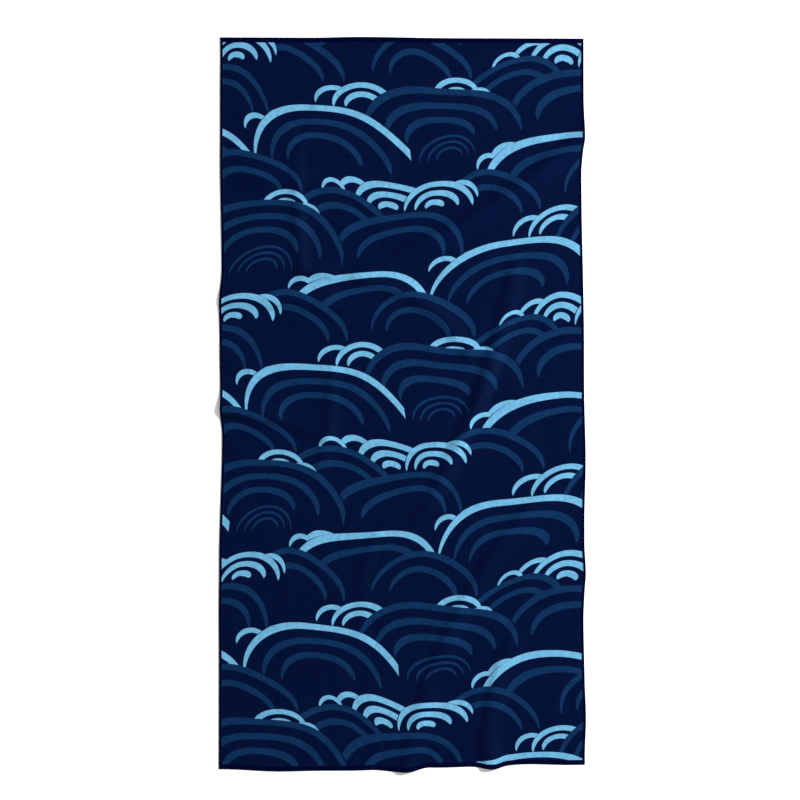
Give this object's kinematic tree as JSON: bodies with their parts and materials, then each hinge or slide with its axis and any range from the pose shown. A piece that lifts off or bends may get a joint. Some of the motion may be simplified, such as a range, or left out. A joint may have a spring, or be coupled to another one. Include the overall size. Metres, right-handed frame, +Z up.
{
  "type": "beach towel",
  "caption": "Flat rectangular beach towel of thin smooth cloth with a narrow turned hem, laid out face up with its soft creases and slightly lifted edges.",
  "frame": {"origin": "middle of the footprint, on the plane that the towel rests on", "axes": "+Z up out of the printed face, +Y along the towel's length, +X across its width"},
  "size_m": [0.7662, 1.5344, 0.0116],
  "materials": {
    "towel_cloth": "smooth matt microfibre, printed in dark, middle and light blue"
  },
  "bodies": {
    "root": {"towel": "towel_cloth"}
  },
  "joints": []
}
